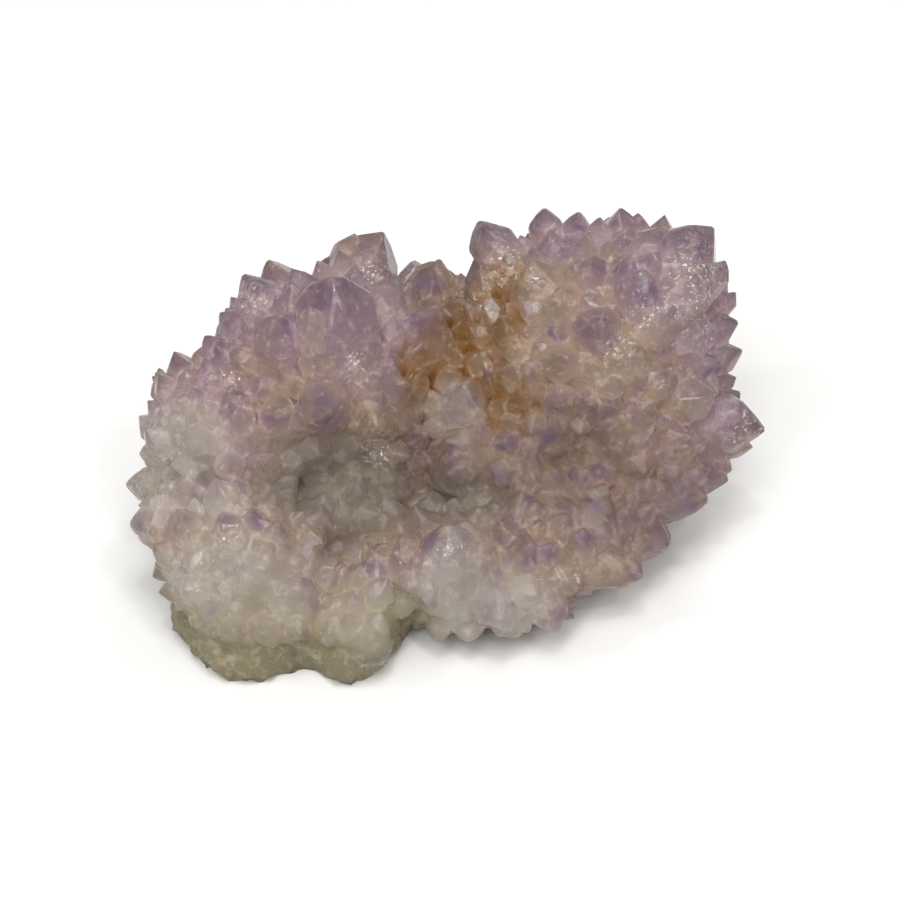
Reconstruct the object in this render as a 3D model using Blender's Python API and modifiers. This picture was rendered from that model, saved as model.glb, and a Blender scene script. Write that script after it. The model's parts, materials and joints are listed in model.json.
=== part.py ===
"""A spirit quartz cluster: small pointed quartz crystals crusting the lobes of a milky quartz body.

It was broken from its rock, and the break is its flat foot. The values below are in millimetres, and
the finished mesh is scaled to metres. +Z is up, +X runs along the longest side, and the origin lies on
the flat foot.
"""

import math
import random

import bmesh
import bpy
from mathutils import Matrix, Vector, noise
from mathutils.bvhtree import BVHTree

METRES = 0.001
SEED = 11

# The cluster is described as seen from its front, looking down at this angle.
VIEW_ELEVATION = math.radians(45)
RIGHT = Vector((1, 0, 0))
UP = Vector((0, math.sin(VIEW_ELEVATION), math.cos(VIEW_ELEVATION)))
TOWARDS = Vector((0, -math.cos(VIEW_ELEVATION), math.sin(VIEW_ELEVATION)))

# Lobes of the milky body: centre, half sizes, and turn about Z in degrees.
LOBES = {
    "left_lobe": ((-16.5, 8.5, 21), (15, 13, 14.5), 0),
    "left_shoulder": ((-28, 3.5, 16.5), (12, 11, 12.5), 0),
    "right_lobe": ((20.5, 12, 23), (17.5, 14, 17.5), 0),
    "right_shoulder": ((26, 4, 16), (11.5, 9.5, 10), 0),
    "front_left": ((-27.5, -12, 9), (10.5, 10.5, 9.5), 0),
    "front_rim": ((4, -14.5, 8.5), (14, 6.5, 7.5), -4),
    "front_right": ((15.5, -8, 10), (12.5, 8.5, 7.5), 8),
    "middle": ((2, 2, 4.5), (30, 14, 8), 0),
    "centre": ((3, 6, 12), (9, 8, 7), 0),
    "back": ((2, 18, 15), (27, 9, 13), 0),
    "foot_left": ((-25, -16, 3), (12.5, 11.5, 8), 6),
    "foot_right": ((-12.5, -17.5, 3), (8.5, 10.5, 7.5), -10),
}
BODY_VOXEL = 1.5
BODY_SMOOTHING = 6
BODY_FACES = 420

# Massive quartz shows on the underside and on the foot, which ends at these places. It broke in lumps
# of this depth, this many to a millimetre.
BARE_HEIGHT = 2.5
BARE_OVERHANG = -0.6
FOOT_EAST, FOOT_NORTH, FOOT_TOP = -3, -13, 7.0
LUMPS = ((1.5, 0.16), (0.6, 0.45))

# Quartz tips are stubby six-sided pyramids whose faces slope at 51.8 degrees.
TIP_SLOPE = math.radians(51.8)
TIP_HEIGHT = math.cos(math.radians(30)) * math.tan(TIP_SLOPE)  # for a radius of 1

# The chief points: place of the tip across and up in the front view, turn from upright in that view
# and tilt towards the viewer in degrees, radius, and length of the part that stands out.
CHIEF_POINTS = {
    "left_crown": (-14.5, 34.5, -5, 45, 5.6, 9.0),
    "left_second": (-0.8, 31.0, 25, 40, 5.0, 8.0),
    "left_peak": (-8.5, 42.6, 24, 10, 4.6, 8.5),
    "left_corner": (-27.4, 36.9, -34, 10, 4.0, 7.0),
    "saddle_left": (-1.5, 38.4, 10, 20, 4.0, 6.5),
    "saddle_right": (5.2, 44.2, -32, 10, 3.8, 8.5),
    "right_crest": (14.4, 46.8, -8, 15, 2.8, 6.0),
    "right_crest_middle": (19.3, 46.2, 4, 15, 3.0, 6.0),
    "right_crest_right": (24.0, 45.6, 4, 10, 3.0, 6.0),
    "right_corner": (37.0, 43.2, 38, 15, 6.4, 12.0),
    "right_edge": (41.2, 30.3, 70, 10, 3.0, 6.0),
    "right_edge_low": (42.8, 20.8, 65, 10, 2.8, 5.5),
    "right_spear": (45.0, 15.4, 98, 15, 4.6, 8.5),
    "right_low": (37.4, 5.2, 105, 20, 4.4, 7.5),
    "right_middle": (27.0, 36.5, 5, 50, 3.6, 7.5),
    "right_purple": (25.5, 38.6, -5, 40, 3.2, 7.0),
    "centre_pale": (3.6, 19.6, -10, 70, 3.8, 6.5),
    "centre_right": (10.4, 12.4, 15, 70, 3.8, 6.0),
    "centre_left": (0.6, 13.6, -20, 75, 3.0, 5.0),
    "hollow_point": (-9.0, 12.6, -15, 65, 4.4, 6.0),
    "stained_point": (-0.6, 31.8, -70, 30, 3.0, 6.0),
    "front_crest": (1.2, 2.3, 0, 35, 4.8, 6.5),
    "front_small": (-8.6, -2.0, 5, 40, 3.2, 5.0),
    "front_left_dome": (-19.5, -5.5, 5, 60, 4.2, 5.0),
    "front_left_crown": (-34.5, 8.6, -10, 65, 5.2, 6.0),
    "front_left_low": (-36.2, -4.0, -60, 35, 3.4, 5.0),
    "left_edge": (-44.6, 7.6, -85, 15, 2.6, 6.0),
    "left_edge_low": (-43.0, 2.2, -95, 15, 3.2, 6.0),
    "rim_bottom": (8.2, -11.5, 170, 55, 4.6, 5.5),
    "rim_bottom_left": (-2.0, -7.5, 190, 65, 3.6, 5.0),
    "rim_bottom_right": (16.0, -12.0, 150, 35, 3.0, 5.0),
}
CHIEF_OVERLAP = 0.7
LEAST_COLLAR = 0.2
ROOT = 1.6

# How far past the tip the six faces of a chief point would meet, as shares of the tip's height.
LARGE_FACE_LIFT = (0.0, 0.1)
SMALL_FACE_LIFT = (0.12, 0.38)

# The crust is laid down in rounds of ever smaller points, each as least and most radius and tries.
# Most are stubby, a share of them stand up from their neighbours, and all of them lean a little.
CRUST_ROUNDS = ((3.1, 3.7, 2500), (2.5, 3.1, 4000), (2.0, 2.5, 6000))
SPACING = 0.76
STANDING_SHARE = 0.22
STANDING_COLLAR = (0.4, 1.0)  # for a radius of 1
STUBBY_COLLAR = (-0.25, 0.05)
APEX_DRIFT = 0.2
LEAN, LIFT = 0.2, 0.1
CLEAR_OF_GROUND = 0.5


def in_view(across, up, towards=0.0):
    """The point at these distances in the front view."""
    return RIGHT * across + UP * up + TOWARDS * towards


def axis_in_view(turn, tilt):
    """The direction at this turn from upright and this tilt towards the viewer, in degrees."""
    turn, tilt = math.radians(turn), math.radians(tilt)
    flat = RIGHT * math.sin(turn) + UP * math.cos(turn)
    return flat * math.cos(tilt) + TOWARDS * math.sin(tilt)


def is_bare(place, normal):
    """Whether the massive quartz shows here: on the underside, and on the broken foot."""
    foot = place.x < FOOT_EAST and place.y < FOOT_NORTH and place.z < FOOT_TOP
    return place.z < BARE_HEIGHT or normal.z < BARE_OVERHANG or foot


def new_object(name, bm, collection):
    """Turns bm into an object of this name in the collection."""
    mesh = bpy.data.meshes.new(name)
    bm.to_mesh(mesh)
    bm.free()
    made = bpy.data.objects.new(name, mesh)
    collection.objects.link(made)
    return made


def take_evaluated(made):
    """Removes the object and returns its mesh, with its modifiers applied, as a bmesh."""
    bpy.context.view_layer.update()
    graph = bpy.context.evaluated_depsgraph_get()
    mesh = bpy.data.meshes.new_from_object(made.evaluated_get(graph))
    bpy.data.objects.remove(made)
    bm = bmesh.new()
    bm.from_mesh(mesh)
    bpy.data.meshes.remove(mesh)
    return bm


def melt_lobes(helpers):
    """The lobes melted into one smooth lump."""
    bm = bmesh.new()
    for centre, half, turn in LOBES.values():
        place = Matrix.Translation(Vector(centre)) @ Matrix.Rotation(math.radians(turn), 4, "Z")
        bmesh.ops.create_icosphere(
            bm, subdivisions=4, radius=1, matrix=place @ Matrix.Diagonal((*half, 1))
        )
    lobes = new_object("lobes", bm, helpers)
    melt = lobes.modifiers.new("melt", "REMESH")
    melt.mode = "VOXEL"
    melt.voxel_size = BODY_VOXEL
    smooth = lobes.modifiers.new("smooth", "SMOOTH")
    smooth.iterations = BODY_SMOOTHING
    return take_evaluated(lobes)


def roughen_bare_quartz(bm):
    """Gives the massive quartz the lumps and hollows of its break."""
    bm.normal_update()
    for vert in bm.verts:
        if is_bare(vert.co, vert.normal):
            for depth, scale in LUMPS:
                vert.co += vert.normal * depth * noise.noise(vert.co * scale)


def make_body(helpers):
    """The milky body in flat facets, cut flat at its foot."""
    lump = melt_lobes(helpers)
    roughen_bare_quartz(lump)
    share = BODY_FACES / (2 * len(lump.faces))
    faceted = new_object("faceted_body", lump, helpers)
    faceted.modifiers.new("facets", "DECIMATE").ratio = share
    body = take_evaluated(faceted)
    everything = body.verts[:] + body.edges[:] + body.faces[:]
    bmesh.ops.bisect_plane(body, geom=everything, plane_co=(0, 0, 0), plane_no=(0, 0, -1), clear_outer=True)
    close_rim(body)
    bmesh.ops.recalc_face_normals(body, faces=body.faces)
    bmesh.ops.triangulate(body, faces=body.faces)
    return body


def close_rim(bm):
    """Fills whatever a cut has left open."""
    rim = [edge for edge in bm.edges if edge.is_boundary]
    bmesh.ops.holes_fill(bm, edges=rim, sides=0)


def hexagonal_prism(radius, low, high):
    """A six-sided prism along Z between two heights."""
    bm = bmesh.new()
    middle = Matrix.Translation((0, 0, (low + high) / 2))
    bmesh.ops.create_cone(
        bm, cap_ends=True, segments=6, radius1=radius, radius2=radius, depth=high - low, matrix=middle
    )
    return bm


def crust_point(radius, collar, rng):
    """A plain point: a prism up to the collar, and a pyramid whose apex sits a little off the middle."""
    bm = hexagonal_prism(radius, -radius - ROOT, collar)
    top = max(bm.faces, key=lambda face: face.calc_center_median().z)
    apex = bmesh.ops.poke(bm, faces=[top], offset=radius * TIP_HEIGHT)["verts"][0]
    off = radius * APEX_DRIFT
    apex.co += Vector((rng.uniform(-off, off), rng.uniform(-off, off), rng.uniform(-off, off)))
    return bm


def chief_point(radius, collar, rng):
    """A prism cut by six sloping faces, three of them larger, as quartz tips mostly are."""
    tip = radius * TIP_HEIGHT
    bm = hexagonal_prism(radius, -radius - ROOT, collar + 2 * tip)
    for side in range(6):
        around = math.radians(60 * side + 30)
        flat = math.sin(TIP_SLOPE)
        slope = Vector((math.cos(around) * flat, math.sin(around) * flat, math.cos(TIP_SLOPE)))
        lift = tip * rng.uniform(*(SMALL_FACE_LIFT if side % 2 == 0 else LARGE_FACE_LIFT))
        everything = bm.verts[:] + bm.edges[:] + bm.faces[:]
        apex = Vector((0, 0, collar + tip + lift))
        bmesh.ops.bisect_plane(bm, geom=everything, plane_co=apex, plane_no=slope, clear_outer=True)
        close_rim(bm)
    return bm


def stand(point, place, axis, rng):
    """Stands the point at this place along this axis, turned about it by chance."""
    turn = Vector((0, 0, 1)).rotation_difference(axis).to_matrix().to_4x4()
    spin = Matrix.Rotation(rng.uniform(0, math.pi / 3), 4, "Z")
    bmesh.ops.transform(point, matrix=Matrix.Translation(place) @ turn @ spin, verts=point.verts)
    bmesh.ops.recalc_face_normals(point, faces=point.faces)


def add_to(crust, point):
    """Adds the point to the crust and frees it."""
    mesh = bpy.data.meshes.new("point")
    point.to_mesh(mesh)
    point.free()
    crust.from_mesh(mesh)
    bpy.data.meshes.remove(mesh)


def place_on_body(surface, across, up):
    """Where the body lies at this place in the front view, or the nearest depth just past its edge."""
    start = in_view(across, up, 200)
    hit = surface.ray_cast(start, -TOWARDS)[0]
    if hit is not None:
        return hit
    depths = [in_view(across, up, step) for step in range(-30, 50)]
    return min(depths, key=lambda probe: surface.find_nearest(probe)[3])


def plant_chief_points(crust, surface, rng):
    """Plants the chief points, and returns the places that they take with their radii."""
    taken = []
    for across, up, turn, tilt, radius, length in CHIEF_POINTS.values():
        axis = axis_in_view(turn, tilt)
        foot = in_view(across, up) - axis * length
        place = place_on_body(surface, foot.dot(RIGHT), foot.dot(UP))
        collar = max(length - radius * TIP_HEIGHT, LEAST_COLLAR)
        point = chief_point(radius, collar, rng)
        stand(point, place, axis, rng)
        add_to(crust, point)
        taken.append((place, radius * CHIEF_OVERLAP))
        taken.append((place + axis * collar, radius * CHIEF_OVERLAP))
    return taken


def random_place(face, rng):
    """An even random place on a triangle, and the body's smooth normal there."""
    a, b = rng.random(), rng.random()
    if a + b > 1:
        a, b = 1 - a, 1 - b
    weights = (1 - a - b, a, b)
    place = sum((vert.co * weight for vert, weight in zip(face.verts, weights)), Vector())
    normal = sum((vert.normal * weight for vert, weight in zip(face.verts, weights)), Vector())
    return place, normal.normalized()


def is_crowded(place, radius, taken):
    """Whether a point of this radius would crowd one that stands already."""
    return any((place - other).length < SPACING * (radius + size) for other, size in taken)


def plant_crust(crust, body, taken, rng):
    """Fills the body with small points, the larger ones first."""
    body.normal_update()
    areas = [face.calc_area() for face in body.faces]
    for least, most, tries in CRUST_ROUNDS:
        for face in rng.choices(body.faces[:], weights=areas, k=tries):
            place, normal = random_place(face, rng)
            radius = rng.uniform(least, most)
            if is_bare(place, normal) or is_crowded(place, radius, taken):
                continue
            lean = Vector((rng.gauss(0, LEAN), rng.gauss(0, LEAN), rng.gauss(LIFT, LEAN)))
            standing = rng.random() < STANDING_SHARE
            collar = radius * rng.uniform(*(STANDING_COLLAR if standing else STUBBY_COLLAR))
            point = crust_point(radius, collar, rng)
            stand(point, place, (normal + lean).normalized(), rng)
            if min(vert.co.z for vert in point.verts) < CLEAR_OF_GROUND:
                point.free()
                continue
            add_to(crust, point)
            taken.append((place, radius))


def keep_outer_shell(bm):
    """Drops the shells around gaps that lie sealed between the roots."""
    left = set(bm.faces)
    outer = []
    while left:
        shell = [left.pop()]
        for face in shell:
            beside = {other for edge in face.edges for other in edge.link_faces} & left
            shell.extend(beside)
            left -= beside
        outer = max(outer, shell, key=len)
    bmesh.ops.delete(bm, geom=list(set(bm.faces) - set(outer)), context="FACES")


def grow_together(body, crust, helpers):
    """Joins the crust to the body as one solid."""
    points = new_object("crust_points", crust, helpers)
    joined = new_object("joined", body, helpers)
    union = joined.modifiers.new("grown_together", "BOOLEAN")
    union.operation = "UNION"
    union.use_self = True
    union.object = points
    solid = take_evaluated(joined)
    bpy.data.objects.remove(points)
    keep_outer_shell(solid)
    return solid


def quartz_material():
    """Milky quartz with a lavender cast."""
    made = bpy.data.materials.new("milky_lavender_quartz")
    made.use_nodes = True
    shader = made.node_tree.nodes["Principled BSDF"]
    shader.inputs["Base Color"].default_value = (0.42, 0.36, 0.42, 1)
    shader.inputs["Roughness"].default_value = 0.3
    shader.inputs["Metallic"].default_value = 0
    return made


def main():
    for old in list(bpy.data.objects):
        bpy.data.objects.remove(old)
    parts = bpy.data.collections.new("spirit_quartz_cluster")
    helpers = bpy.data.collections.new("helpers")
    bpy.context.scene.collection.children.link(parts)
    bpy.context.scene.collection.children.link(helpers)
    rng = random.Random(SEED)
    body = make_body(helpers)
    crust = bmesh.new()
    taken = plant_chief_points(crust, BVHTree.FromBMesh(body), rng)
    plant_crust(crust, body, taken, rng)
    solid = grow_together(body, crust, helpers)
    bmesh.ops.scale(solid, vec=(METRES,) * 3, verts=solid.verts)
    cluster = new_object("quartz_cluster", solid, parts)
    cluster.data.materials.append(quartz_material())


if __name__ == "__main__":
    main()
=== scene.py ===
import json
import math
import random

import bmesh
import bpy
from mathutils import Matrix, Vector, noise
from mathutils.bvhtree import BVHTree

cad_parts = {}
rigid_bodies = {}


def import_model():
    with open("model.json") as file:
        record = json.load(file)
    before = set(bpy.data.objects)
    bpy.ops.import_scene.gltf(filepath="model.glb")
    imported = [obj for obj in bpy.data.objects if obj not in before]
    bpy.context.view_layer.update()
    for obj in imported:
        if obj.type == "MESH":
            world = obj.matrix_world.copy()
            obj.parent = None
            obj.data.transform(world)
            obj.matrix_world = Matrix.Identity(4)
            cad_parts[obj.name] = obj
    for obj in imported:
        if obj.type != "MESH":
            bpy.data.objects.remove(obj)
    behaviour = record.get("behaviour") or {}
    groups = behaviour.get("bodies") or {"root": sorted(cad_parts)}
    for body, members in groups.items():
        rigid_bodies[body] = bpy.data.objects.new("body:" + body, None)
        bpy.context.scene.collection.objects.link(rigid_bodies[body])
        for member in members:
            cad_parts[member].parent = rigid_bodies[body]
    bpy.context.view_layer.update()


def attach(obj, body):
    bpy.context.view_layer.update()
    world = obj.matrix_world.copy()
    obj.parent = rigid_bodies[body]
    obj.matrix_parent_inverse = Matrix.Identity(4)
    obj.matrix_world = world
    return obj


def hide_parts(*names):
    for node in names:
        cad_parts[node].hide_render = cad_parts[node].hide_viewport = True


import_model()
print("frame loaded")

metres = 0.001  # shapes are worked out in mm, in the frame's own axes, and scaled at the end

# where the camera stands, and the three ways of its view that the points are placed by
viewLook = {
    "lookDown": 45,      # degrees
    "aimAcross": 1.25,   # mm, as are the next five
    "aimUp": 12.5,
    "aimNear": 15,
    "distance": 381,
    "rayFrom": 200,      # where the rays start that find the body
    "probes": (-30, 50),  # and how far it is looked for beside them
    "lens": 110,
}
lookDown = math.radians(viewLook["lookDown"])
rightWay = Vector((1, 0, 0))
upWay = Vector((0, math.sin(lookDown), math.cos(lookDown)))
nearWay = Vector((0, -math.cos(lookDown), math.sin(lookDown)))


def inView(across, up, near=0.0):
    return rightWay * across + upWay * up + nearWay * near


def wayInView(turn, tilt):  # degrees from upright, and towards the viewer
    turn, tilt = math.radians(turn), math.radians(tilt)
    flat = rightWay * math.sin(turn) + upWay * math.cos(turn)
    return flat * math.cos(tilt) + nearWay * math.sin(tilt)


# the milky body: lobes as centre, half sizes and turn
bodyShape = {
    "lobes": {
        "leftLobe": ((-16.5, 8.5, 21), (15, 13, 14.5), 0),
        "leftShoulder": ((-28, 3.5, 16.5), (12, 11, 12.5), 0),
        "rightLobe": ((20.5, 12, 23), (17.5, 14, 17.5), 0),
        "rightShoulder": ((26, 4, 16), (11.5, 9.5, 10), 0),
        "frontLeft": ((-27.5, -12, 9), (10.5, 10.5, 9.5), 0),
        "frontRim": ((4, -14.5, 8.5), (14, 6.5, 7.5), -4),
        "frontRight": ((15.5, -8, 10), (12.5, 8.5, 7.5), 8),
        "middle": ((2, 2, 4.5), (30, 14, 8), 0),
        "centre": ((3, 6, 12), (9, 8, 7), 0),
        "back": ((2, 18, 15), (27, 9, 13), 0),
        "footLeft": ((-25, -16, 3), (12.5, 11.5, 8), 6),
        "footRight": ((-12.5, -17.5, 3), (8.5, 10.5, 7.5), -10),
    },
    "coarse": {"voxel": 1.5, "smoothing": 6, "faces": 420},  # the frame's own body, which the points stand on
    "fine": {"voxel": 0.75, "smoothing": 24},
    # the finished body's floor in the hollow, the valley and the saddle, as lobes
    "fillings": (((-14.5, -4, 9.5), (8.5, 7, 7), 0), ((9, 1, 17), (10, 7, 7), 0), ((2, 9, 22), (5, 7, 7), 0)),
    "swell": (0.8, 0.25),  # mm that it stands out between the points, and more where it is calm
    "knobs": ((0.6, 0.32), (0.3, 0.8)),  # depth in mm and how many to a mm, as are lumps and grain
    "bareHeight": 2.5,     # massive quartz shows below this
    "bareOverhang": -0.6,  # and where the surface faces down more than this
    "overhangGain": 8,     # mm that facing wholly down counts for
    "bareFade": 2,         # mm
    "footEast": -3,
    "footNorth": -13,
    "footTop": 7.0,
    "lumps": ((1.5, 0.16), (0.6, 0.45)),
    "grain": ((0.55, 0.75), (0.3, 1.5)),
    "ledges": {"step": 1.7, "depth": 0.5, "bend": 1.6, "scale": 0.2},
    "pits": {"depth": 0.5, "scale": 0.55, "least": 0.28, "gain": 3, "shift": (7, 3, 5)},
}


def isBare(place, normal):
    shape = bodyShape
    foot = place.x < shape["footEast"] and place.y < shape["footNorth"] and place.z < shape["footTop"]
    return place.z < shape["bareHeight"] or normal.z < shape["bareOverhang"] or foot


def newObject(name, bm):
    mesh = bpy.data.meshes.new(name)
    bm.to_mesh(mesh)
    bm.free()
    made = bpy.data.objects.new(name, mesh)
    bpy.context.scene.collection.objects.link(made)
    return made


def takeMesh(made):  # removes the object and gives back its mesh with the modifiers applied
    bpy.context.view_layer.update()
    graph = bpy.context.evaluated_depsgraph_get()
    mesh = bpy.data.meshes.new_from_object(made.evaluated_get(graph))
    bpy.data.objects.remove(made)
    bm = bmesh.new()
    bm.from_mesh(mesh)
    bpy.data.meshes.remove(mesh)
    return bm


def meltLobes(voxel, smoothing, extra=()):
    bm = bmesh.new()
    for centre, half, turn in (*bodyShape["lobes"].values(), *extra):
        place = Matrix.Translation(Vector(centre)) @ Matrix.Rotation(math.radians(turn), 4, "Z")
        bmesh.ops.create_icosphere(
            bm, subdivisions=4, radius=1, matrix=place @ Matrix.Diagonal((*half, 1))
        )
    lobes = newObject("lobes", bm)
    melt = lobes.modifiers.new("melt", "REMESH")
    melt.mode = "VOXEL"
    melt.voxel_size = voxel
    smooth = lobes.modifiers.new("smooth", "SMOOTH")
    smooth.iterations = smoothing
    return takeMesh(lobes)


def closeRim(bm):
    rim = [edge for edge in bm.edges if edge.is_boundary]
    bmesh.ops.holes_fill(bm, edges=rim, sides=0)


def cutFlat(bm):
    everything = bm.verts[:] + bm.edges[:] + bm.faces[:]
    bmesh.ops.bisect_plane(bm, geom=everything, plane_co=(0, 0, 0), plane_no=(0, 0, -1), clear_outer=True)
    closeRim(bm)
    bmesh.ops.recalc_face_normals(bm, faces=bm.faces)
    bmesh.ops.triangulate(bm, faces=bm.faces)


def coarseBody():
    lump = meltLobes(bodyShape["coarse"]["voxel"], bodyShape["coarse"]["smoothing"])
    lump.normal_update()
    for vert in lump.verts:
        if isBare(vert.co, vert.normal):
            for depth, scale in bodyShape["lumps"]:
                vert.co += vert.normal * depth * noise.noise(vert.co * scale)
    share = bodyShape["coarse"]["faces"] / (2 * len(lump.faces))
    facets = newObject("facets", lump)
    facets.modifiers.new("facets", "DECIMATE").ratio = share
    body = takeMesh(facets)
    cutFlat(body)
    return body


def bareShare(place, normal):  # 1 on the bare quartz, fading to 0
    shape = bodyShape
    foot = min(shape["footEast"] - place.x, shape["footNorth"] - place.y, shape["footTop"] - place.z)
    low = shape["bareHeight"] - place.z
    under = (shape["bareOverhang"] - normal.z) * shape["overhangGain"]
    return max(0.0, min(1.0, max(foot, low, under) / shape["bareFade"] + 0.5))


def ledgeDepth(place):  # broken steps that run round the foot, waved by noise
    ledge = bodyShape["ledges"]
    height = place.z + ledge["bend"] * noise.noise(place * ledge["scale"])
    rise = height / ledge["step"] % 1
    return ledge["depth"] * (abs(rise - 0.5) * 2 - 0.5)


def pitDepth(place):
    pit = bodyShape["pits"]
    deep = noise.noise(place * pit["scale"] + Vector(pit["shift"]))
    return -pit["depth"] * max(0.0, deep - pit["least"]) / (1 - pit["least"]) * pit["gain"]


# egg-shaped pools where the cluster is stained, hollow, frosted, lilac, darkened by painted shade, or calm:
# centre and half sizes
regionLook = {
    # the pools of stain, clean and sparkle are across, up and near in the view
    # clean is one crystal that the stain passes by
    "stain": (((3.3, 27.1, 14), (6.0, 8.8, 11)), ((8.6, 34.4, 16), (4.6, 4.0, 10)),
              ((8.6, 29.0, 18), (4.4, 5.0, 10)), ((8.4, 20.0, 18), (5.5, 5.2, 10)),
              ((-2.6, 23.6, 17), (3.6, 5.5, 9))),
    "clean": (((2.1, 17.9, 18.5), (4.6, 4.2, 8)),),
    "cleanFrost": 0.65,
    # the sparkle pools get bumps and gloss that catch the lamps, and painted glints in near-white
    "sparkle": (((-8.9, 12.2, 20), (2.0, 2.0, 7)), ((34.6, 34.7, 24), (4.5, 6, 7)),
                ((1.5, -0.4, 27), (2.8, 2.2, 6)), ((42.2, 15.3, 17), (3, 3, 7)),
                ((8.6, 38.0, 17), (2.6, 3.2, 8)), ((5.6, 33.0, 12), (2.0, 2.6, 8)),
                ((-26.5, 33.3, 19), (2.6, 2.4, 6)),
                ((-43.5, 5.0, 9), (1.8, 3.4, 6)), ((20, -8.6, 20), (2.4, 1.8, 6)),
                ((23.8, 26.1, 25), (2.6, 2.0, 6)), ((36, 28.5, 19), (1.6, 2.0, 6)),
                ((-29, 1.1, 25), (1.6, 1.6, 6)), ((-37.4, -8, 20), (1.5, 2.0, 6)),
                ((-11.2, 24.3, 24), (1.8, 1.2, 6)), ((-28.6, 22.5, 20), (1.8, 1.4, 6)),
                ((-9.6, 36.8, 12), (2.6, 2.0, 7)), ((12.5, 35.5, 22), (1.6, 1.2, 6)),
                ((27.5, 31.0, 26), (2.2, 1.6, 6))),
    # the hollow is grey-green, and its colour is darkened as painted shade of the deep concavity
    "hollow": (((-14, -7, 17), (12, 9, 10)), ((3, -8, 14), (12, 8, 7))),
    "frost": (((-43, -4, 12), (9, 14, 14)), ((-35, -4, 22), (7, 7, 7)), ((-29, -22, 14), (12, 9, 8)),
              ((2, -25, 10), (22, 8, 8)), ((1, -20, 18), (6, 5, 5)), ((-31, -12, 17), (9, 6, 6))),
    "lilac": (((-13, 9, 38), (16, 14, 9)), ((20, 22, 42), (22, 9, 9)), ((41, 8, 32), (10, 14, 18)),
              ((32, 8, 42), (8, 9, 8)), ((-34, -3, 23), (11, 12, 11)),
              ((-30, 12, 33), (9, 10, 9)), ((-42, 0, 22), (6, 14, 9)), ((-4, -22, 15), (12, 5, 5)),
              ((31, -6, 12), (8, 8, 8)), ((-6, 30, 14), (34, 8, 14))),
    # painted shade: darker pools where less light falls, mostly low on the right and in the middle
    "paintedShade": (((18, -6, 21), (15, 10, 9)), ((5, -4, 18), (10, 7, 7)), ((26, -8, 17), (11, 9, 9)),
             ((7, -19, 14), (7, 5, 5)), ((12, -7, 12), (9, 5, 6)), ((0, 19, 36), (7, 5, 6))),
    "calm": (((-27, -21, 12), (12, 8, 9)), ((2, -24, 9), (20, 8, 8)), ((-14, -7, 15), (12, 8, 9)),
             ((10, -9, 17), (16, 9, 9)), ((27, -9, 8), (10, 9, 8)), ((-42, -12, 8), (8, 11, 9)),
             ((36, -2, 15), (9, 9, 9))),
    "fade": (1.3, 0.5),         # from 0 to 1, for a half size of 1
    "footFade": (15.5, 6.5),    # mm above the ground
    "footEdge": 4,              # mm
    "wander": ((0.09, 3.5), (0.45, 1.0)),  # how many to a mm, and mm that the pools' edges are pushed
    "viewWander": (0.45, 1.0),  # the same for the pools in the view, and for the foot
    "footWander": (0.35, 1.6),
}


def easeBetween(value, start, end):
    share = max(0.0, min(1.0, (value - start) / (end - start)))
    return share * share * (3 - 2 * share)


def insidePool(place, name):
    spans = [Vector([way / size for way, size in zip(place - Vector(centre), half)]).length
             for centre, half in regionLook[name]]
    return easeBetween(min(spans), *regionLook["fade"])


def waves(place, name):
    return sum(depth * noise.noise(place * scale) for depth, scale in bodyShape[name])


def fineBody():
    shape = bodyShape
    body = meltLobes(shape["fine"]["voxel"], shape["fine"]["smoothing"], shape["fillings"])
    body.normal_update()
    moves = []
    for vert in body.verts:
        place = vert.co
        bare = bareShare(place, vert.normal)
        broken = waves(place, "lumps") + waves(place, "grain") + ledgeDepth(place) + pitDepth(place)
        swell = shape["swell"][0] + shape["swell"][1] * insidePool(place, "calm") + waves(place, "knobs")
        moves.append(vert.normal * (bare * broken + (1 - bare) * swell))
    for vert, move in zip(body.verts, moves):
        vert.co += move
    cutFlat(body)
    return body


# quartz points: six-sided prisms whose tip faces slope at 51.8 degrees
tipSlope = math.radians(51.8)
tipHeight = math.cos(math.radians(30)) * math.tan(tipSlope)  # for a radius of 1

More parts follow.
